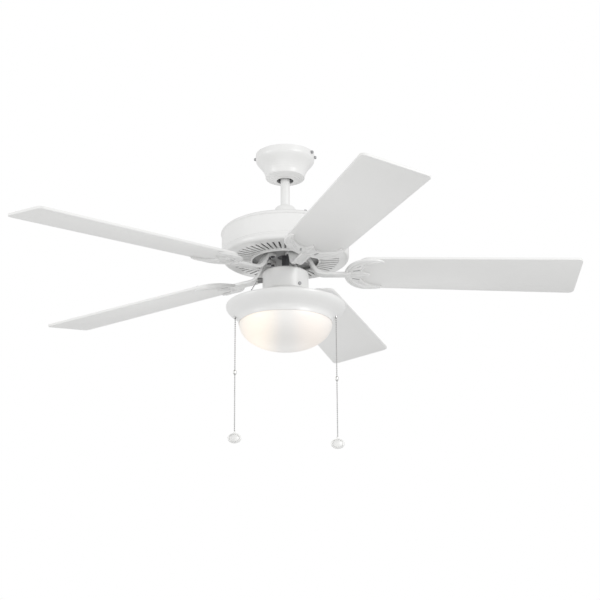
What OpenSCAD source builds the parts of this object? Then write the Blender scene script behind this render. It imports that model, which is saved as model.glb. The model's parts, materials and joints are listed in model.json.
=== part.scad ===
// Five-blade ceiling fan with a bowl light, hung from a ball on a short downrod.
// Millimetres, +Z up. The origin is the centre of the ceiling face of the hanger bracket.

/* [Blades] */
// Diameter swept by the blade tips
blade_span = 1316; // [1200:4:1400]
// Angle of each blade about its own length
blade_pitch = 11; // [6:0.5:14]
// Fall of a blade towards its tip, degrees
blade_droop = 0.87; // [0:0.01:2]
// Thickness of a blade
blade_t = 5.5; // [4:0.5:8]
// Width of a blade at the root
root_w = 124; // [110:2:130]
// Width of a blade at the tip
tip_w = 146; // [120:2:160]
// Radius of the corners at the tip
tip_corner_r = 12; // [6:1:30]

/* [Blade arms] */
// Width of the strap between hub and blade
strap_w = 24; // [18:1:26]
// Thickness of the strap
strap_t = 7; // [5:0.5:8]
// Thickness of the holder plate under the blade
holder_t = 4; // [3:0.5:5]

/* [Canopy and downrod] */
// Radius of the canopy at the ceiling
canopy_r = 66.5; // [66:0.5:72]
// Height of the canopy
canopy_h = 65; // [62:0.2:68]
// Outside diameter of the downrod
rod_d = 21; // [19:0.5:22]
// Radius of the hanger ball
ball_r = 22; // [21:0.5:23]

/* [Motor housing] */
// Largest radius of the motor housing
housing_r = 144; // [142:1:150]
// Number of cooling slots in the underside
slot_count = 55; // [30:1:60]
// Width of a cooling slot
slot_w = 4.2; // [2:0.2:5]
// Thickness of the sheet metal
sheet_t = 1.2; // [1:0.1:1.5]

/* [Light kit] */
// Largest radius of the light pan
pan_r = 131.5; // [130:0.5:136]
// Radius of the glass bowl at its rim
glass_r = 102.3; // [101.9:0.2:102.7]
// Depth of the bowl below the pan
glass_depth = 58.5; // [50:0.5:70]
// Thickness of the glass
glass_t = 3; // [2:0.5:4]

/* [Pull chains] */
// Diameter of the bead chain
chain_d = 3; // [2.4:0.2:3.4]
// Height of the fan chain's pendant, centre
fan_pendant_z = -662; // [-700:2:-640]
// Height of the light chain's pendant, centre
light_pendant_z = -675; // [-700:2:-650]
// Radius of a pendant
pendant_r = 14.5; // [10:0.5:18]

/* [Hidden] */
$fn = 96;

// Clearances: threads and pressed pins, then the seats that turn
fit = 0.05;
run_gap = 0.05;

// Blade ring
blade_count = 5;
first_arm = 0.67;
blade_z = -284;
root_u = 150;
root_bulge = 36;
tip_u = sqrt(pow(blade_span / 2, 2) - pow(tip_w / 2 - tip_corner_r, 2)) - 2;
blade_screw_at = [[181, 0], [206, 53], [206, -53]];
blade_screw_r = 2;

// Blade arm, along its own radius
pad_in = 34;
pad_out = 50;
pad_top_z = -250.05;
neck_u = 131;
strap_end = 145;
strap_top_z = -286;
holder_c = 182;
holder_a = holder_c - neck_u;
holder_b = root_w / 2 + 1;
lobe_end = 217;
arm_screw_u = 40;
arm_screw_v = 7;
arm_screw_r = 2.5;

// Heights of the fixed stack
ball_z = -36;
rod_top = -22;
rod_end = -150;
yoke_top = -131;
clevis_z = -140;
housing_top = -158;
cone_z = -179.5;
waist_z = -195.5;
seam_z = -244;
underside_z = -256;
hole_r = 74;
slot_in = 78;
slot_out = 119.5;
shaft_r = 8;
shaft_end = -300;
switch_r = 51;
switch_top = -285;
switch_floor = -331;
plate_floor = -337;
nipple_z = -303;
pan_rim_z = -363.5;
lip_z = -404.5;
bulb_z = -402;
chain_x = 111;
clip_angles = [30, 150, 270];

// Rotor and stator
rotor_r = 76;
bell_top = -190;
bell_bottom = -250;
core_top = -214;
core_bottom = -234;
gap_r = 60;

// Hanger bracket and canopy screws
tab_r = 64.6;
tab_angles = [-13.5, 157.5];
canopy_screw_step = 13.5;
canopy_screw_z = -7;
canopy_top = -2;
box_hole_x = 44.45;

// Chain routes, from the top down
fan_upper_route = [[-64, 0, -305.6], [-77, 0, -327.9], [-90, 0, -350.2], [-103, 0, -372.5]];
fan_route = [[-chain_x, 0, -384], [-chain_x, 0, -430], [-chain_x, 0, -470], [-chain_x, 0, -509]];
fan_tail_route = [[-chain_x, 0, -517], [-chain_x, 0, -560], [-chain_x, 0, -605],
  [-chain_x, 0, fan_pendant_z + 13]];
light_route = [[chain_x, 0, -384], [chain_x, 0, -435], [chain_x, 0, -480], [chain_x, 0, -524]];
light_tail_route = [[chain_x, 0, -532], [chain_x, 0, -575], [chain_x, 0, -620],
  [chain_x, 0, light_pendant_z + 13]];
chain_sides = 8;
ring_step = 3 * chain_d;

white = [0.93, 0.93, 0.92];
steel = [0.75, 0.76, 0.78];
dark = [0.25, 0.25, 0.26];

// ---- curves ----
function bezier(a, b, c, d, n = 10) = [for (i = [0 : n]) let(t = i / n, s = 1 - t)
  s * s * s * a + 3 * s * s * t * b + 3 * s * t * t * c + t * t * t * d];
function arc(c, r, from, to, n = 8) = [for (i = [0 : n]) let(a = from + (to - from) * i / n)
  c + r * [cos(a), sin(a)]];
function ellipse_arc(c, a, b, from, to, n = 16) = [for (i = [0 : n])
  let(t = from + (to - from) * i / n) c + [a * cos(t), b * sin(t)]];
function unit(v) = v / norm(v);
function side_of(path, i) =
  let(t = unit(path[min(i + 1, len(path) - 1)] - path[max(i - 1, 0)])) [-t[1], t[0]];
function shifted(path, by) = [for (i = [0 : len(path) - 1]) path[i] + by * side_of(path, i)];
function reversed(path) = [for (i = [len(path) - 1 : -1 : 0]) path[i]];
function band(path, left, right) = concat(shifted(path, left), reversed(shifted(path, -right)));

// Turned sheet whose outside follows the path, read from the top outwards and down
module turned_sheet(path, t = sheet_t) rotate_extrude() polygon(band(path, 0, t));

module ring(r_out, r_in, z0, z1) translate([0, 0, z0]) difference() {
  cylinder(r = r_out, h = z1 - z0);
  translate([0, 0, -1]) cylinder(r = r_in, h = z1 - z0 + 2);
}

module arc_wall(r_out, r_in, z0, z1, middle, half)
  rotate([0, 0, middle - half]) rotate_extrude(angle = 2 * half)
    translate([r_in, z0]) square([r_out - r_in, z1 - z0]);

module along_x(from, to, r, z = 0, y = 0)
  translate([from, y, z]) rotate([0, 90, 0]) cylinder(r = r, h = to - from);

module along_y(from, to, r, z = 0, x = 0)
  translate([x, from, z]) rotate([-90, 0, 0]) cylinder(r = r, h = to - from);

module upright(x, y, z0, z1, r) translate([x, y, z0]) cylinder(r = r, h = z1 - z0);

// Pan-head screw pointing down from its seat, which is at z = 0
module screw(head_r, head_h, r, length) {
  rotate_extrude() polygon([[0, 0], [head_r, 0], [head_r, 0.55 * head_h],
    [0.87 * head_r, 0.86 * head_h], [0.6 * head_r, head_h], [0, head_h]]);
  translate([0, 0, -length]) cylinder(r = r, h = length + 0.5);
}

// ---- ceiling end ----
module hanger_bracket() color(steel) {
  // Tab that stops the ball turning
  translate([17.5, -2, -50]) cube([9, 4, 6]);
  difference() {
    union() {
      intersection() {
        translate([-canopy_r, -33.5, -2.5]) cube([2 * canopy_r, 67, 2.5]);
        translate([0, 0, -2.5]) cylinder(r = tab_r - 0.1, h = 2.5);
      }
      for (a = tab_angles) arc_wall(tab_r, tab_r - 2.3, -14, -0.5, a, 21.5);
      for (s = [-1, 1]) translate([-12, s > 0 ? 31 : -33.5, -56]) cube([24, 2.5, 55]);
      for (s = [-1, 1]) translate([-12, s > 0 ? 26 : -33.5, -56]) cube([24, 7.5, 5]);
      translate([0, 0, -56]) cylinder(r = 30, h = 12);
    }
    translate([0, 0, ball_z]) sphere(r = ball_r + run_gap);
    translate([0, 0, -60]) cylinder(r = 16.5, h = 20);
    translate([-31, -rod_d / 2 - 1, -60]) cube([31, rod_d + 2, 20]);
    translate([0, 0, -4]) cylinder(r = 18, h = 6);
    for (x = [-box_hole_x, box_hole_x]) upright(x, 0, -4, 2, 2.75);
    for (a = tab_angles, s = [-1, 1]) rotate([0, 0, a + s * canopy_screw_step])
      along_x(tab_r - 4, tab_r + 2, blade_screw_r + fit, canopy_screw_z);
  }
}

canopy_path = concat(
  [[canopy_r, canopy_top], [canopy_r, -13]],
  bezier([canopy_r, -14], [canopy_r, -24], [48.2, -32], [44.4, -55]),
  [[44.4, -57.4], [43.4, -58.8], [41.2, -59.2], [40, -60.4], [37, -60.9], [35.8, -62.1],
   [32.6, -62.6], [31.4, -63.8], [26, 0.3 - canopy_h], [19, -canopy_h]]);

module canopy() color(white) difference() {
  turned_sheet(canopy_path);
  for (a = tab_angles, s = [-1, 1]) rotate([0, 0, a + s * canopy_screw_step])
    along_x(canopy_r - 3, canopy_r + 2, blade_screw_r + 0.3, canopy_screw_z);
}

module canopy_screws() color(steel)
  for (a = tab_angles, s = [-1, 1]) rotate([0, 0, a + s * canopy_screw_step])
    translate([canopy_r + 0.1, 0, canopy_screw_z]) rotate([0, 90, 0])
      screw(3.6, 4.8, blade_screw_r, 5);

// ---- hanger ball and downrod ----
module hanger_ball() color(dark) difference() {
  translate([0, 0, ball_z]) sphere(r = ball_r);
  upright(0, 0, ball_z - 30, ball_z + 30, rod_d / 2 + fit);
  translate([13, -5.5, ball_z - 24]) cube([12, 11, 20]);
  along_y(-30, 30, 3 + fit, ball_z);
}

module downrod() color(white) difference() {
  upright(0, 0, rod_end, rod_top, rod_d / 2);
  upright(0, 0, rod_end - 1, rod_top + 1, rod_d / 2 - 2);
  along_y(-20, 20, 3 + fit, ball_z);
  along_x(-20, 20, 3 + fit, clevis_z);
}

module coupling_cover() color(white) turned_sheet(concat(
  [[rod_d / 2 + 0.8, -128], [14, -128.2]],
  bezier([18, -129], [23, -131], [25, -137], [26.5, -146]), [[28, -157.8]]));

module motor_yoke() color(steel) difference() {
  union() {
    upright(0, 0, housing_top, yoke_top, 14.5);
    upright(0, 0, housing_top, housing_top + 4, 24);
  }
  upright(0, 0, rod_end, yoke_top + 1, rod_d / 2 + fit);
  upright(0, 0, housing_top - 1, rod_end + 1, shaft_r + fit);
  along_x(-30, 30, 3 + fit, clevis_z);
  along_y(-30, 30, 2.5 + fit, -146);
}

// One pin holds the rod in the ball, the other holds it in the yoke
module rod_pins() color(steel) {
  along_y(-17, 17, 3, ball_z);
  along_x(-17, 17, 3, clevis_z);
}

module yoke_set_screws() color(steel)
  for (s = [0, 180]) rotate([0, 0, s]) along_y(rod_d / 2 + 0.1, 17, 2.5, -146);

module motor_shaft() color(steel) difference() {
  upright(0, 0, shaft_end, rod_end - 0.2, shaft_r);
  upright(0, 0, shaft_end - 1, rod_end + 1, shaft_r - 3);
}

module shaft_nut() color(steel) difference() {
  translate([0, 0, -294.3]) cylinder(r = 14, h = 8, $fn = 6);
  upright(0, 0, -300, -280, shaft_r + fit);
}

// ---- motor housing ----
band_r = housing_r - 2;
dome_path = concat(
  [[shaft_r + 0.2, housing_top], [45, housing_top]],
  bezier([112, cone_z], [128, cone_z - 5], [housing_r - 1, -188.5], [housing_r, waist_z]),
  [[housing_r - 0.4, waist_z - 1], [band_r, waist_z - 3], [band_r, -239.2], [band_r - 0.8, -240],
   [band_r, -240.8], [band_r, seam_z]]);
pan_path_low = concat(
  [[band_r, seam_z - 0.2]],
  bezier([band_r, -246], [band_r, -252.5], [139.5, underside_z], [133, underside_z]),
  [[hole_r + 3, underside_z], [hole_r + 2.5, underside_z - 3], [hole_r + 1, underside_z - 4.3],
   [hole_r - 0.4, underside_z - 3]]);
housing_screw_angles = [-66, 54, 174];

// Screw seat on the cone of the dome, turned to the cone's slope
module on_dome(a) rotate([0, 0, a]) translate([108, 0, -178.2])
  rotate([0, 17.8, 0]) children();

module upper_housing() color(white) difference() {
  turned_sheet(dome_path);
  for (a = housing_screw_angles) on_dome(a)
    translate([0, 0, -5]) cylinder(r = blade_screw_r + fit, h = 10);
}

module lower_housing() color(white) difference() {
  turned_sheet(pan_path_low);
  for (i = [0 : slot_count - 1]) rotate([0, 0, -90 + i * 360 / slot_count])
    translate([slot_in, -slot_w / 2, underside_z - 2]) cube([slot_out - slot_in, slot_w, 6]);
}

module housing_screws() color(steel)
  for (a = housing_screw_angles) on_dome(a) translate([0, 0, 0.25])
    screw(3.6, 3.8, blade_screw_r, 6);

// ---- motor ----
module stator_core() color(dark) difference() {
  ring(gap_r - 0.6, shaft_r + 0.03, core_bottom, core_top);
  for (i = [0 : 15]) rotate([0, 0, i * 22.5])
    translate([gap_r - 10, -1.5, core_bottom - 1]) cube([12, 3, 22]);
}

module stator_windings() color([0.72, 0.4, 0.2]) {
  ring(52, 30, core_top + 0.1, core_top + 7);
  ring(52, 30, core_bottom - 7, core_bottom - 0.1);
}

module rotor_upper_bell() color(steel) {
  ring(rotor_r, 17.5 + fit, bell_top - 4, bell_top);
  ring(rotor_r, rotor_r - 4, core_top + 0.1, bell_top - 3.9);
  ring(22, 17.5 + fit, bell_top - 16, bell_top - 3.9);
}

module rotor_lower_bell() color(steel) difference() {
  union() {
    ring(rotor_r, 17.5 + fit, bell_bottom, bell_bottom + 4);
    ring(rotor_r, rotor_r - 4, bell_bottom + 3.9, core_bottom - 0.1);
    ring(22, 17.5 + fit, bell_bottom + 3.9, bell_bottom + 14);
  }
  for (i = [1 : blade_count], s = [-1, 1]) rotate([0, 0, arm_angle(i)])
    upright(arm_screw_u, s * arm_screw_v, bell_bottom - 1, bell_bottom + 5, arm_screw_r + fit);
}

module rotor_ring() color(dark) ring(rotor_r, gap_r + 0.4, core_bottom, core_top);

module bearings() color(steel) {
  ring(17.5, shaft_r + run_gap, bell_top - 14, bell_top - 4);
  ring(17.5, shaft_r + run_gap, bell_bottom + 2, bell_bottom + 12);
}

// ---- blade arms and blades ----
function arm_angle(i) = first_arm + 360 / blade_count * (i - 1);
module on_arm(i) rotate([0, 0, arm_angle(i)]) children();
module pitched() translate([0, 0, blade_z]) rotate([-blade_pitch, blade_droop, 0]) children();

// Side of the strap: flat pad under the rotor, bend down through the hole, then straight out
strap_side = concat([[pad_in, pad_top_z]],
  bezier([pad_out, pad_top_z], [62, pad_top_z], [62, strap_top_z], [92, strap_top_z], 12),
  [[strap_end, strap_top_z], [strap_end, strap_top_z - strap_t]],
  bezier([88, strap_top_z - strap_t], [54, strap_top_z - strap_t], [57, pad_top_z - strap_t],
    [pad_out - 4, pad_top_z - strap_t], 12), [[pad_in, pad_top_z - strap_t]]);

// Inner edge of the holder: a point in the middle, a valley each side, then a lobe
function holder_edge(v) = let(s = abs(v) / holder_b)
  168 + 23 * pow(max(0, 1 - abs(v) / 15), 1.6) + (lobe_end - 168) * pow(s, 3) * (1.35 - 0.35 * s);

holder_outline = concat(
  ellipse_arc([holder_c, 0], holder_a, holder_b, 270, 90, 24),
  [[holder_c + 20, holder_b - 0.6], [lobe_end - 4, holder_b - 4], [lobe_end, holder_b - 9]],
  [for (v = [holder_b - 14 : -4 : -holder_b + 14]) [holder_edge(v), v]],
  [[lobe_end, -holder_b + 9], [lobe_end - 4, -holder_b + 4], [holder_c + 20, -holder_b + 0.6]]);

// Pierced opening with round ends
module piercing(u, v, length, r, turn) translate([u, v, -holder_t - 1]) rotate([0, 0, turn])
  linear_extrude(holder_t + 2)
    polygon(concat(arc([0, 0], r, 90, 270, 6), arc([length, 0], r, -90, 90, 6)));

module blade_arm() color(white) difference() {
  union() {
    rotate([90, 0, 0]) translate([0, 0, -strap_w / 2]) linear_extrude(strap_w)
      polygon(strap_side);
    pitched() {
      translate([0, 0, -holder_t]) linear_extrude(holder_t) polygon(holder_outline);
      for (s = [-1, 1]) translate([0, 0, -holder_t - 1.5]) rotate([0, 0, s * 5])
        translate([146, s * 3 - 1.5, 0]) cube([26, 3, 2]);
      translate([139.5, -13, -holder_t - 2]) cube([8, 26, holder_t + 1]);
    }
  }
  for (s = [-1, 1]) upright(arm_screw_u, s * arm_screw_v, pad_top_z - 8, pad_top_z + 1, arm_screw_r + 0.2);
  pitched() {
    for (p = blade_screw_at) upright(p[0], p[1], -holder_t - 2, 1, blade_screw_r + fit);
    for (s = [-1, 1]) {
      piercing(153, s * 24, 16, 2.6, s * 22);
      piercing(166, s * 41, 14, 2.4, s * 34);
    }
  }
}

// Half width of a blade at a distance from the fan's axis
function blade_half(u) = root_w / 2 + (tip_w - root_w) / 2 * (u - root_u) / (tip_u - root_u);
tip_c = tip_u - tip_corner_r;
blade_outline = concat(
  ellipse_arc([root_u + root_bulge, 0], root_bulge, blade_half(root_u + root_bulge), 270, 90, 20),
  arc([tip_c, blade_half(tip_u) - tip_corner_r], tip_corner_r, 90, 0),
  arc([tip_c, tip_corner_r - blade_half(tip_u)], tip_corner_r, 0, -90));

module blade() color(white) pitched() difference() {
  translate([0, 0, 0.05]) linear_extrude(blade_t) polygon(blade_outline);
  for (p = blade_screw_at) upright(p[0], p[1], -1, blade_t + 1, blade_screw_r + 0.3);
}

module arm_screws() color(dark) for (i = [1 : blade_count], s = [-1, 1]) on_arm(i)
  translate([arm_screw_u, s * arm_screw_v, pad_top_z - strap_t - 0.1]) rotate([180, 0, 0])
    screw(4.4, 3, arm_screw_r, 9.5);

module blade_screws() color(white) for (i = [1 : blade_count]) on_arm(i) pitched()
  for (p = blade_screw_at) translate([p[0], p[1], blade_t + 0.1])
    screw(4.6, 2.6, blade_screw_r, blade_t + holder_t - 0.4);

// ---- switch housing ----
switch_screw_angles = [-53, 127];
module on_switch_wall(a, z) rotate([0, 0, a]) translate([switch_r, 0, z])
  rotate([0, 90, 0]) children();

module switch_housing() color(white) difference() {
  turned_sheet(concat([[shaft_r + fit, switch_top], [switch_r - 7, switch_top]],
    arc([switch_r - 6, switch_top - 6], 6, 90, 0, 6), [[switch_r, switch_floor]]));
  along_x(-switch_r - 4, -switch_r + 6, 6.1, nipple_z);
  translate([-2.5, switch_r - 5, -314.5]) cube([5, 10, 13]);
  for (a = switch_screw_angles) on_switch_wall(a, -324)
    translate([0, 0, -4]) cylinder(r = blade_screw_r + 0.2, h = 8);
}

module switch_plate() color(white) difference() {
  union() {
    turned_sheet([[switch_r, switch_floor - 0.2], [switch_r + 0.8, switch_floor - 1.2],
      [switch_r, switch_floor - 2.4], [switch_r, plate_floor], [12, plate_floor]]);
    for (a = switch_screw_angles) arc_wall(switch_r - 1.3, switch_r - 3, plate_floor + 0.6, -318, a, 10);
  }
  for (a = switch_screw_angles) on_switch_wall(a, -324)
    translate([0, 0, -6]) cylinder(r = blade_screw_r + fit, h = 8);
  for (a = fitter_angles) rotate([0, 0, a])
    upright(34, 0, plate_floor - 2, plate_floor + 3, blade_screw_r + fit);
}

// Two through the wall of the switch housing and three up through the fitter plate
module switch_housing_screws() color(steel) {
  for (a = switch_screw_angles) on_switch_wall(a, -324)
    translate([0, 0, 0.1]) screw(3.8, 3, blade_screw_r, 5);
  for (a = fitter_angles) rotate([0, 0, a])
    translate([34, 0, plate_floor - 2.7]) rotate([180, 0, 0]) screw(3.4, 2.2, blade_screw_r, 5);
}

module fan_pull_switch() color(dark) difference() {
  along_x(-44, -20, 13, nipple_z);
  along_x(-45, -27, 2.5, nipple_z);
}

module fan_switch_plunger() color(steel) along_x(-52, -30, chain_d / 2, nipple_z);

module chain_nipple() color(steel) difference() {
  union() {
    along_x(-62, -44.1, 6, nipple_z);
    along_x(-48.8, -46, 8, nipple_z);
  }
  along_x(-63, -43, 2.5, nipple_z);
}

module capacitor() color(dark) translate([19, -19, -328]) cube([20, 38, 27]);

module reverse_switch() color(dark) translate([-10, 38, -316]) cube([20, 10.4, 16]);

module reverse_knob() color(dark) {
  translate([-1.9, 48.9, -313.4]) cube([3.8, 3.4, 4]);
  translate([-4, 51.8, -314.9]) cube([8, 2.8, 7]);
}

// ---- light kit ----
fitter_angles = [0, 120, 240];

module fitter_plate() color(white) difference() {
  turned_sheet(concat([[14, plate_floor - 1.3], [50, plate_floor - 1.3]],
    bezier([54, plate_floor - 2], [60, -350], [104, -354.5], [122, -361.5], 8),
    [[127, -363.2], [128.8, -365], [128.8, -370]]));
  upright(-91.8, 0, -364, -344, 5);
  for (a = fitter_angles) rotate([0, 0, a])
    upright(34, 0, plate_floor - 4, plate_floor, blade_screw_r + 0.2);
}

pan_path = concat([[130.1, pan_rim_z + 0.6], [131, pan_rim_z + 0.2], [pan_r, pan_rim_z - 1]],
  bezier([pan_r, pan_rim_z - 2.5], [pan_r, -375], [119, -381], [111, -388]),
  bezier([109.3, -389.4], [107, -391.5], [104.4, -394.5], [103.9, -399], 6),
  [[103.9, lip_z]]);

module light_pan() color(white) difference() {
  turned_sheet(pan_path);
  for (x = [-chain_x, chain_x]) upright(x, 0, -396, -376, 3.5 + fit);
}

module socket_bracket() color(steel) {
  translate([-16, -14, -341.2]) cube([32, 28, 1.4]);
  for (s = [0, 180]) rotate([0, 0, s]) translate([14.6, -14, bulb_z - 14]) cube([1.4, 28, 75]);
}

module lamp_sockets() color([0.95, 0.94, 0.9]) for (s = [0, 180]) rotate([0, 0, s]) difference() {
  along_x(16.1, 45, 16, bulb_z);
  along_x(24, 46, 13.6, bulb_z);
}

module bulbs() color([1, 0.95, 0.85]) for (s = [0, 180]) rotate([0, 0, s])
  translate([0, 0, bulb_z]) rotate([0, 90, 0]) rotate_extrude() polygon(concat(
    [[0, 24.3], [13.2, 24.3], [13.2, 46]], bezier([14, 48], [16, 53], [24, 57], [24, 69], 6),
    arc([0, 69], 24, 10, 90, 8)));

module light_pull_switch() color(dark) difference() {
  union() {
    upright(chain_x - 1, 0, -376.5, -364.2, 8.5);
    upright(chain_x, 0, -391, -376.4, 3.5);
  }
  upright(chain_x, 0, -392, -370, 2.2);
}

function bowl_arc(r, depth) = ellipse_arc([0, lip_z], r, depth, 0, -90, 20);
module glass_bowl() color([0.98, 0.96, 0.92]) union() {
  rotate_extrude() polygon(concat([[101.6, -384], [101.6, lip_z + 1.5]],
    bowl_arc(glass_r, glass_depth), reversed(bowl_arc(glass_r - glass_t, glass_depth - glass_t)),
    [[101.6 - glass_t, lip_z + 1.5], [101.6 - glass_t, -384]]));
  for (a = clip_angles) arc_wall(104.6, 100.5, -388.6, -385.6, a, 6);
}

module glass_clips() color(steel)
  for (a = clip_angles) arc_wall(104.9, 102.2, -391.6, -389, a, 7);

module chain_grommet() color(steel) translate([-chain_x, 0, 0]) ring(3.5, 2.2, -391, -382);

// ---- pull chains ----
function spaced(route) = concat([for (i = [0 : len(route) - 2])
  let(n = ceil(norm(route[i + 1] - route[i]) / ring_step))
  for (k = [0 : n - 1]) route[i] + (route[i + 1] - route[i]) * k / n], [route[len(route) - 1]]);

// Tube through the points of a route that lies in the XZ plane
module chain_tube(route) {
  points = spaced(route);
  last = len(points) - 1;
  along = unit(points[last] - points[0]);
  across = [-along[2], 0, along[0]];
  rings = [for (p = points, k = [0 : chain_sides - 1]) let(a = 360 * k / chain_sides)
    p + chain_d / 2 * (cos(a) * across + sin(a) * [0, 1, 0])];
  walls = [for (i = [0 : last - 1], k = [0 : chain_sides - 1]) let(n = (k + 1) % chain_sides)
    [i * chain_sides + k, i * chain_sides + n, (i + 1) * chain_sides + n, (i + 1) * chain_sides + k]];
  polyhedron(rings, concat([[for (k = [chain_sides - 1 : -1 : 0]) k]], walls,
    [[for (k = [0 : chain_sides - 1]) last * chain_sides + k]]));
}

// Bell-shaped link that joins two lengths of chain, open below
module connector(x, z) color(steel) translate([x, 0, 0]) rotate_extrude()
  polygon([[0, z + 5], [2, z + 5], [3.4, z + 1], [3.4, z - 5], [2.4, z - 5], [2.4, z - 1], [0, z - 1]]);

module pendant(x, z) color(steel) translate([x, 0, 0]) rotate_extrude()
  polygon(concat([[0, z + 13], [2.4, z + 13], [2.4, z + 11.6]],
    ellipse_arc([0, z], pendant_r, 12, 72, -90, 16)));

module fan_chain_upper() color(steel) chain_tube(fan_upper_route);
module fan_chain() color(steel) chain_tube(fan_route);
module fan_connector() connector(-chain_x, -514);
module fan_tail_chain() color(steel) chain_tube(fan_tail_route);
module fan_pendant() pendant(-chain_x, fan_pendant_z);
module light_chain() color(steel) chain_tube(light_route);
module light_connector() connector(chain_x, -529);
module light_tail_chain() color(steel) chain_tube(light_tail_route);
module light_pendant() pendant(chain_x, light_pendant_z);

hanger_bracket();
canopy();
canopy_screws();
hanger_ball();
downrod();
rod_pins();
coupling_cover();
motor_yoke();
yoke_set_screws();
motor_shaft();
shaft_nut();
upper_housing();
lower_housing();
housing_screws();
stator_core();
stator_windings();
rotor_upper_bell();
rotor_lower_bell();
rotor_ring();
bearings();
on_arm(1) blade_arm();  // blade_arm_1
on_arm(2) blade_arm();  // blade_arm_2
on_arm(3) blade_arm();  // blade_arm_3
on_arm(4) blade_arm();  // blade_arm_4
on_arm(5) blade_arm();  // blade_arm_5
on_arm(1) blade();  // blade_1
on_arm(2) blade();  // blade_2
on_arm(3) blade();  // blade_3
on_arm(4) blade();  // blade_4
on_arm(5) blade();  // blade_5
arm_screws();
blade_screws();
switch_housing();
switch_plate();
switch_housing_screws();
fan_pull_switch();
fan_switch_plunger();
chain_nipple();
capacitor();
reverse_switch();
reverse_knob();
fitter_plate();
light_pan();
socket_bracket();
lamp_sockets();
bulbs();
light_pull_switch();
glass_bowl();
glass_clips();
chain_grommet();
fan_chain_upper();
fan_chain();
fan_connector();
fan_tail_chain();
fan_pendant();
light_chain();
light_connector();
light_tail_chain();
light_pendant();
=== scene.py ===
"""Ceiling fan with a bowl light: the looks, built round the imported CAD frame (metres, +Z up)."""
import json
import math

import bmesh
import bpy
from mathutils import Matrix, Vector


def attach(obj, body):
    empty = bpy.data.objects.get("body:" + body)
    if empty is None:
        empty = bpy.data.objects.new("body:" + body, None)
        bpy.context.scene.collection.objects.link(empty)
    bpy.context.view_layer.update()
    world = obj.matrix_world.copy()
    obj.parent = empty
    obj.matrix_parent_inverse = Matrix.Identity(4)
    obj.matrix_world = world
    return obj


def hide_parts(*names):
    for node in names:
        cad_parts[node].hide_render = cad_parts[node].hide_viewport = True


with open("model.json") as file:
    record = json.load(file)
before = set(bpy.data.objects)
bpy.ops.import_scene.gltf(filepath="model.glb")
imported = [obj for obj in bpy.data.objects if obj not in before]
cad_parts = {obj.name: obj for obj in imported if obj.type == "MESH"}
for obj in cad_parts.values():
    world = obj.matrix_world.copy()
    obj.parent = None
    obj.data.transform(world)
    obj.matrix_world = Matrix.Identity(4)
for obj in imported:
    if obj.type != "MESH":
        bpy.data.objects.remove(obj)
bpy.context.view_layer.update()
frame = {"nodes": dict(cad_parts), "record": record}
nodes = frame["nodes"]
MM = 0.001

# ------------------------------------------------------------------ camera and staging

CAMERA_DISTANCE = 3.427
CAMERA_BELOW_BLADES = 1.219
CAMERA_PITCH = 0.3248
CAMERA_YAW = -0.0093
CAMERA_ROLL = -0.0065
LENS = 98.2
FLOOR_Z = -2.44
BLADE_Z = -284
BLADE_PITCH = math.radians(11)
BLADE_DROOP = math.radians(0.87)
FIRST_ARM = math.radians(0.67)
BLADE_COUNT = 5


def make_camera():
    data = bpy.data.cameras.new("camera")
    data.lens = LENS
    data.sensor_width = 36
    data.clip_end = 50
    camera = bpy.data.objects.new("camera", data)
    camera.location = (0, -CAMERA_DISTANCE, BLADE_Z * MM - CAMERA_BELOW_BLADES)
    aim = Matrix.Rotation(CAMERA_YAW, 3, "Z") @ Matrix.Rotation(math.pi / 2 + CAMERA_PITCH, 3, "X")
    camera.rotation_euler = (aim @ Matrix.Rotation(CAMERA_ROLL, 3, "Z")).to_euler()
    bpy.context.scene.collection.objects.link(camera)
    bpy.context.scene.camera = camera


def make_area_light(name, place, target, size, power, colour=(1, 1, 1)):
    data = bpy.data.lights.new(name, "AREA")
    data.shape = "DISK"
    data.size = size
    data.energy = power
    data.color = colour
    light = bpy.data.objects.new(name, data)
    light.location = place
    aim = Vector(target) - Vector(place)
    light.rotation_euler = aim.to_track_quat("-Z", "Y").to_euler()
    bpy.context.scene.collection.objects.link(light)


def make_world(lit, seen):
    """White studio: one strength for what the camera sees, a lower one for the light it gives."""
    world = bpy.data.worlds.new("studio")
    world.use_nodes = True
    tree = world.node_tree
    backdrop = tree.nodes["Background"]
    backdrop.inputs["Color"].default_value = (1, 1, 1, 1)
    backdrop.inputs["Strength"].default_value = lit
    bright = tree.nodes.new("ShaderNodeBackground")
    bright.inputs["Color"].default_value = (1, 1, 1, 1)
    bright.inputs["Strength"].default_value = seen
    path = tree.nodes.new("ShaderNodeLightPath")
    mix = tree.nodes.new("ShaderNodeMixShader")
    tree.links.new(path.outputs["Is Camera Ray"], mix.inputs["Fac"])
    tree.links.new(backdrop.outputs["Background"], mix.inputs[1])
    tree.links.new(bright.outputs["Background"], mix.inputs[2])
    tree.links.new(mix.outputs["Shader"], tree.nodes["World Output"].inputs["Surface"])
    bpy.context.scene.world = world
    bpy.context.scene.view_settings.view_transform = "Standard"


# ------------------------------------------------------------------ mesh tools

def bezier(a, b, c, d, n=20):
    """Points of a cubic curve, both ends included."""
    points = []
    for i in range(n + 1):
        t = i / n
        s = 1 - t
        weights = (s ** 3, 3 * s * s * t, 3 * s * t * t, t ** 3)
        points.append(tuple(sum(w * p[k] for w, p in zip(weights, (a, b, c, d))) for k in (0, 1)))
    return points


def arc(centre, radii, start, end, n=16):
    """Points of an elliptical arc from start to end, in degrees."""
    angles = [math.radians(start + (end - start) * i / n) for i in range(n + 1)]
    return [(centre[0] + radii[0] * math.cos(a), centre[1] + radii[1] * math.sin(a)) for a in angles]


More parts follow.
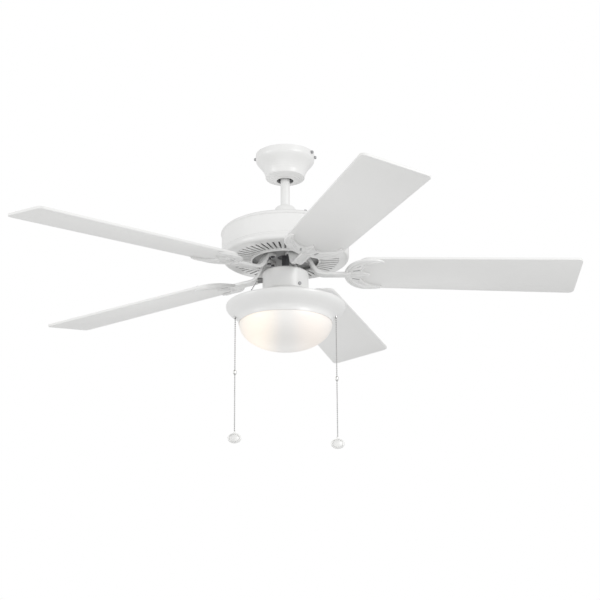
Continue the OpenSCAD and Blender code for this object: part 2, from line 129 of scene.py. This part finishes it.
def offset(path, by, closed=False):
    """The path moved sideways, to its left when by is positive."""
    moved = []
    count = len(path)
    for i, point in enumerate(path):
        before = path[i - 1] if closed or i > 0 else point
        after = path[(i + 1) % count] if closed or i < count - 1 else point
        along = Vector((after[0] - before[0], after[1] - before[1])).normalized()
        moved.append((point[0] - by * along.y, point[1] + by * along.x))
    return moved


def lathe(bm, outline, steps=160):
    """Turns a closed outline of (radius, height) about Z."""
    rings = []
    for r, z in outline:
        if r < 1e-6:
            rings.append([bm.verts.new((0, 0, z))] * steps)
            continue
        turn = [2 * math.pi * k / steps for k in range(steps)]
        rings.append([bm.verts.new((r * math.cos(a), r * math.sin(a), z)) for a in turn])
    for lower, upper in zip(rings, rings[1:] + rings[:1]):
        for k in range(steps):
            corners = [lower[k], lower[(k + 1) % steps], upper[(k + 1) % steps], upper[k]]
            unique = list(dict.fromkeys(corners))
            if len(unique) > 2:
                bm.faces.new(unique)


def prism(bm, outline, levels):
    """Closed solid over a flat outline: levels are (height, how far in from the outline)."""
    loops = []
    for z, inset in levels:
        loops.append([bm.verts.new((x, y, z)) for x, y in offset(outline, inset, closed=True)])
    bm.faces.new(loops[0][::-1])
    bm.faces.new(loops[-1])
    for low, high in zip(loops, loops[1:]):
        for k in range(len(outline)):
            n = (k + 1) % len(outline)
            bm.faces.new((low[k], low[n], high[n], high[k]))


def sweep(bm, path, section, up=(0, 0, 1), ends=None):
    """Solid along 3-D path points; section(i, t) gives its closed outline at each point."""
    count = len(path)
    loops = []
    for i, point in enumerate(path):
        here = Vector(point)
        along = (Vector(path[min(i + 1, count - 1)]) - Vector(path[max(i - 1, 0)])).normalized()
        side = along.cross(Vector(up)).normalized()
        lift = side.cross(along)
        outline = section(i / (count - 1))
        loops.append([bm.verts.new(here + side * a + lift * b) for a, b in outline])
    bm.faces.new(loops[0][::-1])
    bm.faces.new(loops[-1])
    for first, second in zip(loops, loops[1:]):
        size = len(first)
        for k in range(size):
            n = (k + 1) % size
            bm.faces.new((first[k], first[n], second[n], second[k]))


def round_bar(bm, path, radius, height=None, up=(0, 0, 1)):
    """Rounded bar whose ends taper off; height flattens or raises its section."""
    height = height or radius

    def section(t):
        swell = max(0.12, math.sin(math.pi * min(1, max(0, t))) ** 0.35)
        return [(x * swell, y * swell) for x, y in arc((0, 0), (radius, height), 0, 324, 9)]

    sweep(bm, path, section, up)


def box_solid(bm, low, high):
    corners = [bm.verts.new((x, y, z)) for z in (low[2], high[2])
               for x, y in ((low[0], low[1]), (high[0], low[1]), (high[0], high[1]), (low[0], high[1]))]
    for face in ((3, 2, 1, 0), (4, 5, 6, 7), (0, 1, 5, 4), (1, 2, 6, 5), (2, 3, 7, 6), (3, 0, 4, 7)):
        bm.faces.new([corners[k] for k in face])


def ball(bm, centre, radius, segments=12, rings=8, squash=1.0):
    place = Matrix.Translation(centre) @ Matrix.Diagonal((1, 1, squash, 1))
    bmesh.ops.create_uvsphere(bm, u_segments=segments, v_segments=rings, radius=radius, matrix=place)


def rod(bm, start, end, radius, segments=12):
    start, end = Vector(start), Vector(end)
    aim = (end - start).to_track_quat("Z", "Y").to_matrix().to_4x4()
    place = Matrix.Translation((start + end) / 2) @ aim
    bmesh.ops.create_cone(bm, cap_ends=True, segments=segments, radius1=radius, radius2=radius,
                          depth=(end - start).length, matrix=place)


def piece(name, bm, material, body, stands_for=(), place=None, sharp=38):
    """Finishes a mesh built in millimetres and hangs it on its body."""
    if place is not None:
        bm.transform(place)
    bm.transform(Matrix.Scale(MM, 4))
    bmesh.ops.recalc_face_normals(bm, faces=bm.faces)
    for face in bm.faces:
        face.smooth = True
    for edge in bm.edges:
        edge.smooth = len(edge.link_faces) == 2 and edge.calc_face_angle(0) < math.radians(sharp)
    mesh = bpy.data.meshes.new(name)
    bm.to_mesh(mesh)
    bm.free()
    mesh.materials.append(material)
    thing = bpy.data.objects.new(name, mesh)
    bpy.context.scene.collection.objects.link(thing)
    if stands_for:
        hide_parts(*stands_for)
    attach(thing, body)
    return thing


# ------------------------------------------------------------------ materials

def shader_of(material):
    return material.node_tree.nodes["Principled BSDF"]


def plain(name, colour, roughness, metallic=0.0, coat=0.0, coat_roughness=0.1):
    material = bpy.data.materials.new(name)
    material.use_nodes = True
    shader = shader_of(material)
    shader.inputs["Base Color"].default_value = (*colour, 1)
    shader.inputs["Roughness"].default_value = roughness
    shader.inputs["Metallic"].default_value = metallic
    shader.inputs["Coat Weight"].default_value = coat
    shader.inputs["Coat Roughness"].default_value = coat_roughness
    return material


def add_noise(material, scale, detail=3, stretch=(1, 1, 1)):
    """Noise texture in the object's own coordinates."""
    tree = material.node_tree
    coordinates = tree.nodes.new("ShaderNodeTexCoord")
    mapping = tree.nodes.new("ShaderNodeMapping")
    mapping.inputs["Scale"].default_value = stretch
    noise = tree.nodes.new("ShaderNodeTexNoise")
    noise.inputs["Scale"].default_value = scale
    noise.inputs["Detail"].default_value = detail
    tree.links.new(coordinates.outputs["Object"], mapping.inputs["Vector"])
    tree.links.new(mapping.outputs["Vector"], noise.inputs["Vector"])
    return noise


def add_ramp(material, source, stops):
    ramp = material.node_tree.nodes.new("ShaderNodeValToRGB")
    while len(ramp.color_ramp.elements) < len(stops):
        ramp.color_ramp.elements.new(1.0)
    for element, (position, colour) in zip(ramp.color_ramp.elements, stops):
        element.position = position
        element.color = (*colour, 1)
    material.node_tree.links.new(source, ramp.inputs["Fac"])
    return ramp


def mottle(material, low, high, scale, stretch=(1, 1, 1)):
    """Base colour that drifts between two close tones."""
    noise = add_noise(material, scale, stretch=stretch)
    ramp = add_ramp(material, noise.outputs["Fac"], [(0.3, low), (0.7, high)])
    material.node_tree.links.new(ramp.outputs["Color"], shader_of(material).inputs["Base Color"])


def roughen(material, low, high, scale, stretch=(1, 1, 1)):
    noise = add_noise(material, scale, stretch=stretch)
    ramp = add_ramp(material, noise.outputs["Fac"], [(0.3, (low,) * 3), (0.7, (high,) * 3)])
    material.node_tree.links.new(ramp.outputs["Color"], shader_of(material).inputs["Roughness"])


def bump(material, scale, strength, distance, stretch=(1, 1, 1)):
    tree = material.node_tree
    noise = add_noise(material, scale, detail=4, stretch=stretch)
    node = tree.nodes.new("ShaderNodeBump")
    node.inputs["Strength"].default_value = strength
    node.inputs["Distance"].default_value = distance
    tree.links.new(noise.outputs["Fac"], node.inputs["Height"])
    tree.links.new(node.outputs["Normal"], shader_of(material).inputs["Normal"])


def make_enamel():
    material = plain("enamel", (0.83, 0.83, 0.82), 0.32, coat=0.25, coat_roughness=0.15)
    mottle(material, (0.82, 0.82, 0.81), (0.85, 0.85, 0.845), 14)
    roughen(material, 0.28, 0.38, 40)
    bump(material, 900, 0.12, 0.0001)
    return material


def make_cast_enamel():
    material = plain("cast_enamel", (0.83, 0.83, 0.82), 0.3, coat=0.35, coat_roughness=0.12)
    mottle(material, (0.81, 0.81, 0.80), (0.86, 0.86, 0.855), 60)
    bump(material, 350, 0.15, 0.0002)
    return material


def make_laminate():
    material = plain("laminate", (0.85, 0.85, 0.84), 0.42)
    mottle(material, (0.84, 0.84, 0.83), (0.86, 0.86, 0.85), 5)
    roughen(material, 0.38, 0.48, 25)
    bump(material, 500, 0.1, 0.0001)
    return material


def make_metal(name, colour, roughness, scale):
    material = plain(name, colour, roughness, metallic=1.0)
    mottle(material, [0.94 * c for c in colour], colour, scale)
    roughen(material, roughness * 0.8, roughness * 1.25, scale)
    return material


def make_plastic(name, colour, roughness):
    material = plain(name, colour, roughness)
    mottle(material, [0.9 * c for c in colour], colour, 80)
    return material


LAMP_X = (-0.056, 0.056)
LAMP_Z = -0.418
GLOW_DEPTH = 0.3
GLOW_HEIGHT = 0.8


def make_opal():
    """Frosted glass with a warm glow in front of and behind each lamp, stronger at the left."""
    material = plain("opal", (0.90, 0.885, 0.865), 0.4, coat=0.12, coat_roughness=0.3)
    tree = material.node_tree
    coordinates = tree.nodes.new("ShaderNodeTexCoord")
    squeeze = tree.nodes.new("ShaderNodeMapping")
    squeeze.inputs["Scale"].default_value = (1, GLOW_DEPTH, GLOW_HEIGHT)
    tree.links.new(coordinates.outputs["Object"], squeeze.inputs["Vector"])
    add = tree.nodes.new("ShaderNodeVectorMath")
    add.operation = "ADD"
    tints = ((0.85, 0.62, 0.36), (0.42, 0.28, 0.17))
    for slot, (lamp_x, tint) in enumerate(zip(LAMP_X, tints)):
        away = tree.nodes.new("ShaderNodeVectorMath")
        away.operation = "DISTANCE"
        away.inputs[1].default_value = (lamp_x, 0, LAMP_Z * GLOW_HEIGHT)
        tree.links.new(squeeze.outputs["Vector"], away.inputs[0])
        spread = tree.nodes.new("ShaderNodeMapRange")
        spread.interpolation_type = "SMOOTHSTEP"
        spread.inputs["From Min"].default_value = 0.012
        spread.inputs["From Max"].default_value = 0.062
        spread.inputs["To Min"].default_value = 1.0
        spread.inputs["To Max"].default_value = 0.0
        tree.links.new(away.outputs["Value"], spread.inputs["Value"])
        ramp = add_ramp(material, spread.outputs["Result"], [(0.0, (0.03, 0.026, 0.022)), (1.0, tint)])
        tree.links.new(ramp.outputs["Color"], add.inputs[slot])
    shader = shader_of(material)
    tree.links.new(add.outputs["Vector"], shader.inputs["Emission Color"])
    shader.inputs["Emission Strength"].default_value = 0.4
    return material


enamel = make_enamel()
cast_enamel = make_cast_enamel()
laminate = make_laminate()
zinc = make_metal("zinc", (0.62, 0.63, 0.64), 0.35, 60)
nickel = make_metal("nickel", (0.66, 0.66, 0.65), 0.3, 200)
chain_metal = make_metal("chain_metal", (0.46, 0.46, 0.46), 0.35, 300)
pendant_metal = make_metal("pendant_metal", (0.9, 0.9, 0.89), 0.62, 120)
pendant_dash = make_metal("pendant_dash", (0.6, 0.6, 0.59), 0.6, 120)
nipple_metal = make_metal("nipple_metal", (0.36, 0.36, 0.36), 0.5, 120)
# Near-black for bearings, shaft and nut: partly their dark iron, and partly painted shade for the
# shadowed gap above the switch housing.
iron_with_gap_shade = make_plastic("iron_with_gap_shade", (0.10, 0.10, 0.105), 0.6)
bell_metal = make_plastic("bell_metal", (0.42, 0.42, 0.42), 0.6)
screw_metal = make_metal("screw_metal", (0.42, 0.42, 0.43), 0.45, 150)
iron = make_metal("iron", (0.2, 0.2, 0.21), 0.5, 80)
copper = make_metal("copper", (0.62, 0.30, 0.14), 0.4, 150)
black = make_plastic("black", (0.04, 0.04, 0.045), 0.45)
rubber = make_plastic("rubber", (0.05, 0.05, 0.05), 0.75)
porcelain = make_plastic("porcelain", (0.85, 0.84, 0.80), 0.25)
opal = make_opal()
lamp_glass = plain("lamp_glass", (1.0, 0.9, 0.7), 0.3)
mottle(lamp_glass, (0.98, 0.88, 0.68), (1.0, 0.92, 0.75), 20)
shader_of(lamp_glass).inputs["Emission Color"].default_value = (1.0, 0.8, 0.5, 1)
shader_of(lamp_glass).inputs["Emission Strength"].default_value = 0.8

SLOT_MATERIALS = {
    "satin_white": enamel, "blade_white": laminate, "zinc_steel": zinc, "dark_iron": iron,
    "nickel": nickel, "pendant_metal": pendant_metal, "copper": copper, "black_plastic": black,
    "rubber_black": rubber, "socket_white": porcelain, "bulb_glass": lamp_glass,
    "opal_glass": opal,
}


NODE_MATERIALS = {
    "chain_nipple": nipple_metal, "rotor_lower_bell": bell_metal, "bearings": iron_with_gap_shade,
    "motor_shaft": iron_with_gap_shade, "shaft_nut": iron_with_gap_shade, "light_pull_switch": nickel,
    "chain_grommet": nickel, "canopy_screws": screw_metal, "switch_housing_screws": screw_metal,
    "housing_screws": screw_metal,
}


def paint_cad_nodes():
    for entry in frame["record"]["subparts"]:
        name = entry["node"]
        thing = nodes[name]
        thing.data.materials.clear()
        material = NODE_MATERIALS.get(name, SLOT_MATERIALS[entry["material_slot"]])
        thing.data.materials.append(material)


# ------------------------------------------------------------------ pull chains

CHAIN_X = 111
BEAD_R = 1.5
BEAD_PITCH = 4.3
LINK_R = 0.45
FAN_UPPER_ROUTE = [(-64, 0, -305.6), (-77, 0, -327.9), (-90, 0, -350.2), (-103, 0, -372.5)]
FAN_ROUTE = [(-111, 0, -384), (-111, 0, -430), (-111, 0, -470), (-111, 0, -509)]
FAN_TAIL_ROUTE = [(-111, 0, -517), (-111, 0, -560), (-111, 0, -605), (-111, 0, -649)]
LIGHT_ROUTE = [(111, 0, -384), (111, 0, -435), (111, 0, -480), (111, 0, -524)]
LIGHT_TAIL_ROUTE = [(111, 0, -532), (111, 0, -575), (111, 0, -620), (111, 0, -662)]
CONNECTOR_Z = {"fan": -514, "light": -529}
PENDANT_Z = {"fan": -662, "light": -675}


def bead_chain(name, route, body):
    """Beads on thin links along a straight route."""
    start, end = Vector(route[0]), Vector(route[-1])
    count = round((end - start).length / BEAD_PITCH)
    bm = bmesh.new()
    for i in range(count + 1):
        ball(bm, start.lerp(end, i / count), BEAD_R)
    rod(bm, start, end, LINK_R, segments=8)
    thing = piece(name + "_beads", bm, chain_metal, body, (name,), sharp=60)
    return thing


def make_connector(name, x, z, body):
    """Bell-shaped link with a crimped collar; on its face, black rods paint the shade in its two dark
    wire openings.
    """
    bm = bmesh.new()
    outer = [(1.2, z + 5), (1.9, z + 4.6)] + arc((1.4, z + 1.6), (2.0, 2.6), 60, 0, 6)
    outer += [(3.4, z - 3.6), (3.1, z - 4.6), (2.5, z - 5)]
    inner = [(2.3, z - 4.6), (2.3, z - 1.2), (0, z - 1.2), (0, z + 5)]
    lathe(bm, outer + inner, steps=28)
    for height in (z + 1.4, z - 3.2):
        collar = [(3.3, height + 0.5), (3.55, height), (3.3, height - 0.5), (3.0, height)]
        lathe(bm, collar, steps=28)
    bm.transform(Matrix.Translation((x, 0, 0)))
    shell = piece(name + "_shell", bm, nickel, body, (name,))
    # Painted shade: black rods across the link, whose ends show as its dark wire openings.
    bm = bmesh.new()
    for height in (z + 2.9, z - 1.2):
        rod(bm, (x, -3.3, height), (x, 3.3, height), 0.75, segments=16)
    piece(name + "_hole_shade", bm, black, body)
    return shell


PENDANT_R = 14.5
PENDANT_HALF_H = 11


def make_pendant(name, x, z, body):
    """Oval medallion fob with a ring of dashes and a plain domed middle on both faces."""
    bm = bmesh.new()
    steps = 48
    turn = [2 * math.pi * k / steps for k in range(steps)]
    face = [(1.0, 1.6), (0.955, 2.7), (0.9, 3.2), (0.83, 3.2), (0.79, 2.6), (0.68, 2.6),
            (0.62, 2.9), (0.35, 3.7), (0.0, 4.0)]
    rings = []
    for share, depth in [(share, -depth) for share, depth in reversed(face)] + face:
        if share == 0:
            rings.append([bm.verts.new((0, depth, 0))] * steps)
            continue
        rings.append([bm.verts.new((share * PENDANT_R * math.cos(a), depth,
                                    share * PENDANT_HALF_H * math.sin(a))) for a in turn])
    for low, high in zip(rings, rings[1:]):
        for k in range(steps):
            n = (k + 1) % steps
            bm.faces.new(list(dict.fromkeys((low[k], low[n], high[n], high[k]))))
    lathe(bm, [(0, 15.5), (1.6, 15.5), (2.4, 14.6), (2.4, 10.2), (0, 10.2)], steps=24)
    bm.transform(Matrix.Translation((x, 0, z)))
    body_piece = piece(name + "_body", bm, pendant_metal, body, (name,))
    bm = bmesh.new()
    dashes = 14
    for side in (-1, 1):
        for k in range(dashes):
            middle = 360 / dashes * k
            path = [(x + PENDANT_R * 0.735 * math.cos(math.radians(middle + t)), side * 2.6,
                     z + PENDANT_HALF_H * 0.735 * math.sin(math.radians(middle + t)))
                    for t in (-8, -4, 0, 4, 8)]
            round_bar(bm, path, 0.8, 0.45, up=(0, 1, 0))
    piece(name + "_dashes", bm, pendant_dash, body)
    return body_piece


def make_pull_chains():
    fan_connector = make_connector("fan_connector", -CHAIN_X, CONNECTOR_Z["fan"], "fan_pull_chain")
    light_connector = make_connector("light_connector", CHAIN_X, CONNECTOR_Z["light"],
                                     "light_pull_chain")
    fan_pendant = make_pendant("fan_pendant", -CHAIN_X, PENDANT_Z["fan"], "fan_pull_tail")
    light_pendant = make_pendant("light_pendant", CHAIN_X, PENDANT_Z["light"], "light_pull_tail")
    bead_chain("fan_chain_upper", FAN_UPPER_ROUTE, "fan_upper_link")
    bead_chain("fan_chain", FAN_ROUTE, "fan_pull_chain")
    bead_chain("fan_tail_chain", FAN_TAIL_ROUTE, "fan_pull_tail")
    bead_chain("light_chain", LIGHT_ROUTE, "light_pull_chain")
    bead_chain("light_tail_chain", LIGHT_TAIL_ROUTE, "light_pull_tail")


# ------------------------------------------------------------------ blades and arms

def arm_place(i):
    return Matrix.Rotation(FIRST_ARM + 2 * math.pi / BLADE_COUNT * (i - 1), 4, "Z")


def pitched():
    tilt = Matrix.Rotation(BLADE_DROOP, 4, "Y") @ Matrix.Rotation(-BLADE_PITCH, 4, "X")
    return Matrix.Translation((0, 0, BLADE_Z)) @ tilt


BLADE_SPAN = 1316
ROOT_U = 150
ROOT_BULGE = 36
ROOT_W = 124
TIP_W = 146
TIP_R = 12
TIP_U = math.sqrt((BLADE_SPAN / 2) ** 2 - (TIP_W / 2 - TIP_R) ** 2) - 2
BLADE_T = 5.5


def blade_half(u):
    return ROOT_W / 2 + (TIP_W - ROOT_W) / 2 * (u - ROOT_U) / (TIP_U - ROOT_U)


def blade_outline():
    shoulder = ROOT_U + ROOT_BULGE
    root = arc((shoulder, 0), (ROOT_BULGE, blade_half(shoulder)), 270, 90, 32)
    corner = (TIP_U - TIP_R, blade_half(TIP_U) - TIP_R)
    near = arc(corner, (TIP_R, TIP_R), 90, 0, 8)
    far = arc((corner[0], -corner[1]), (TIP_R, TIP_R), 0, -90, 8)
    return (root + near + far)[::-1]


def make_blade(i):
    bm = bmesh.new()
    base = 0.05
    prism(bm, blade_outline(), [(base, 0.7), (base + 0.25, 0.2), (base + 0.8, 0),
                                (base + BLADE_T - 0.8, 0), (base + BLADE_T - 0.25, 0.2),
                                (base + BLADE_T, 0.7)])
    piece(f"blade_{i}_board", bm, laminate, "rotor", (f"blade_{i}",),
          place=arm_place(i) @ pitched(), sharp=50)


STRAP_W = 24
STRAP_T = 7
PAD_TOP = -250.05
STRAP_TOP = -286
HOLDER_T = 4
HOLDER_C = 182
HOLDER_A = 51
HOLDER_B = 63
LOBE_END = 217


def strap_side(n=26):
    """Upper and lower edge lines of the strap, seen from its side."""
    upper = [(34, PAD_TOP)] + bezier((50, PAD_TOP), (62, PAD_TOP), (62, STRAP_TOP),
                                     (92, STRAP_TOP), n) + [(120, STRAP_TOP), (145, STRAP_TOP)]
    lower_bend = bezier((46, PAD_TOP - STRAP_T), (57, PAD_TOP - STRAP_T),
                        (54, STRAP_TOP - STRAP_T), (88, STRAP_TOP - STRAP_T), n)
    lower = [(34, PAD_TOP - STRAP_T)] + lower_bend
    lower += [(120, STRAP_TOP - STRAP_T), (145, STRAP_TOP - STRAP_T)]
    return upper, lower


def add_strap(bm):
    """Cast strap with softened long edges and a shallow hollow along its underside."""
    loops = []
    half = STRAP_W / 2
    for (xu, zu), (xl, zl) in zip(*strap_side()):
        across = [(-half, 0.30), (-half, 0.70), (-half + 0.8, 0.92), (-half + 2.2, 1.0),
                  (half - 2.2, 1.0), (half - 0.8, 0.92), (half, 0.70), (half, 0.30),
                  (half - 0.8, 0.08), (half - 2.2, 0.0), (half - 6.5, 0.0), (4, 0.12),
                  (-4, 0.12), (-half + 6.5, 0.0), (-half + 2.2, 0.0), (-half + 0.8, 0.08)]
        loops.append([bm.verts.new((xl + (xu - xl) * h, v, zl + (zu - zl) * h))
                      for v, h in across])
    bm.faces.new(loops[0][::-1])
    bm.faces.new(loops[-1])
    for first, second in zip(loops, loops[1:]):
        for k in range(len(first)):
            n = (k + 1) % len(first)
            bm.faces.new((first[k], first[n], second[n], second[k]))


def holder_edge(v):
    s = abs(v) / HOLDER_B
    cusp = 23 * max(0, 1 - abs(v) / 15) ** 1.6
    return 168 + cusp + (LOBE_END - 168) * s ** 3 * (1.35 - 0.35 * s)


def holder_outline():
    b = HOLDER_B
    back = arc((HOLDER_C, 0), (HOLDER_A, b), 270, 90, 40)
    lobe = [(HOLDER_C + 20, b - 0.6), (LOBE_END - 4, b - 4), (LOBE_END, b - 9)]
    inner = [(holder_edge(v), v) for v in range(b - 14, -b + 13, -2)]
    other = [(u, -v) for u, v in lobe[::-1]]
    return (back + lobe + inner + other)[::-1]


def on_plate(points, w):
    return [(u, v, w) for u, v in points]


def stadium(u, v, length, r, turn):
    turn = math.radians(turn)
    ends = arc((0, 0), (r, r), 90, 270, 8) + arc((length, 0), (r, r), -90, 90, 8)
    return [(u + x * math.cos(turn) - y * math.sin(turn), v + x * math.sin(turn) + y * math.cos(turn))
            for x, y in ends]


def add_holder(bm):
    """Holder plate under the blade with its cast relief on the underside."""
    under = -HOLDER_T
    prism(bm, holder_outline(), [(under, 1.2), (under + 0.4, 0.4), (under + 1.2, 0), (0, 0)])
    rim = arc((HOLDER_C, 0), (HOLDER_A - 3.4, HOLDER_B - 3.4), 264, 96, 44)
    round_bar(bm, on_plate(rim, under), 2.4, 1.9)
    second = arc((HOLDER_C, 0), (HOLDER_A - 9.5, HOLDER_B - 10), 252, 108, 36)
    round_bar(bm, on_plate(second, under), 1.3, 1.2)
    for side in (-1, 1):
        span = range(HOLDER_B - 14, 1, -2)
        edge = [(holder_edge(v) - 2.4, side * v) for v in span]
        ribs = bezier((139, 8 * side), (149, 9 * side), (158, 12 * side), (167, 16 * side), 14)
        lobes = bezier((170, 38 * side), (181, 50 * side), (196, 57 * side), (212, 56 * side), 16)
        veins = bezier((147, 24 * side), (157, 27 * side), (165, 34 * side), (172, 43 * side), 12)
        curls = bezier((158, 29 * side), (166, 31 * side), (168, 25 * side), (164, 20 * side), 12)
        for shape, radius, height in ((edge, 1.8, 1.4), (ribs, 2.4, 1.8), (lobes, 3.4, 2.0),
                                      (veins, 1.5, 1.4), (curls, 1.4, 1.3)):
            round_bar(bm, on_plate(shape, under), radius, height)
    spine = bezier((141, 0), (158, 0), (174, 0), (188, 0), 12)
    round_bar(bm, on_plate(spine, under), 2.0, 1.5)


def add_piercing_shade(bm):
    """Painted shade: grey inlays just proud of the plate, put where the cast piercings between the ribs
    show dark.
    """
    under = -HOLDER_T
    for side in (-1, 1):
        for u, v, length, r, turn in ((151, 16.5, 15, 1.9, 14), (159, 31, 9, 1.6, 40)):
            prism(bm, stadium(u, side * v, length, r, side * turn),
                  [(under - 0.12, 0), (under + 0.3, 0)])


def make_arm(i):
    bm = bmesh.new()
    add_holder(bm)
    bmesh.ops.recalc_face_normals(bm, faces=bm.faces)
    bm.transform(pitched())
    add_strap(bm)
    piece(f"blade_arm_{i}_casting", bm, cast_enamel, "rotor", (f"blade_arm_{i}",),
          place=arm_place(i))
    bm = bmesh.new()
    add_piercing_shade(bm)
    # Painted shade: these grey inlays stand for the dark seen through the piercings.
    piece(f"blade_arm_{i}_piercing_shade", bm, shadow, "rotor",
          place=arm_place(i) @ pitched())


# Flat grey used as painted shade in the arm piercings.
shadow = make_plastic("shadow", (0.45, 0.45, 0.45), 0.7)


def make_blade_ring():
    for i in range(1, BLADE_COUNT + 1):
        make_blade(i)
        make_arm(i)


# ------------------------------------------------------------------ assembly

make_camera()
paint_cad_nodes()
make_pull_chains()
make_blade_ring()

make_world(lit=0.72, seen=1.0)
make_area_light("key", (2.4, -2.4, 0.3), (0, 0, -0.3), 1.9, 40)
make_area_light("side", (-2.9, -1.3, -0.1), (0, 0, -0.3), 1.4, 20)
make_area_light("fill", (-0.5, -2.6, -2.1), (0, 0, -0.3), 2.2, 6)
make_area_light("back", (-0.2, 2.4, -1.9), (0, 0, -0.3), 2.2, 8)

bm = bmesh.new()
box_solid(bm, (-4000, -4500, FLOOR_Z / MM - 20), (4000, 4000, FLOOR_Z / MM))
floor = bpy.data.meshes.new("floor")
bm.transform(Matrix.Scale(MM, 4))
bm.to_mesh(floor)
bm.free()
floor.materials.append(plain("floor", (0.8, 0.8, 0.8), 0.7))
floor_object = bpy.data.objects.new("floor", floor)
bpy.context.scene.collection.objects.link(floor_object)
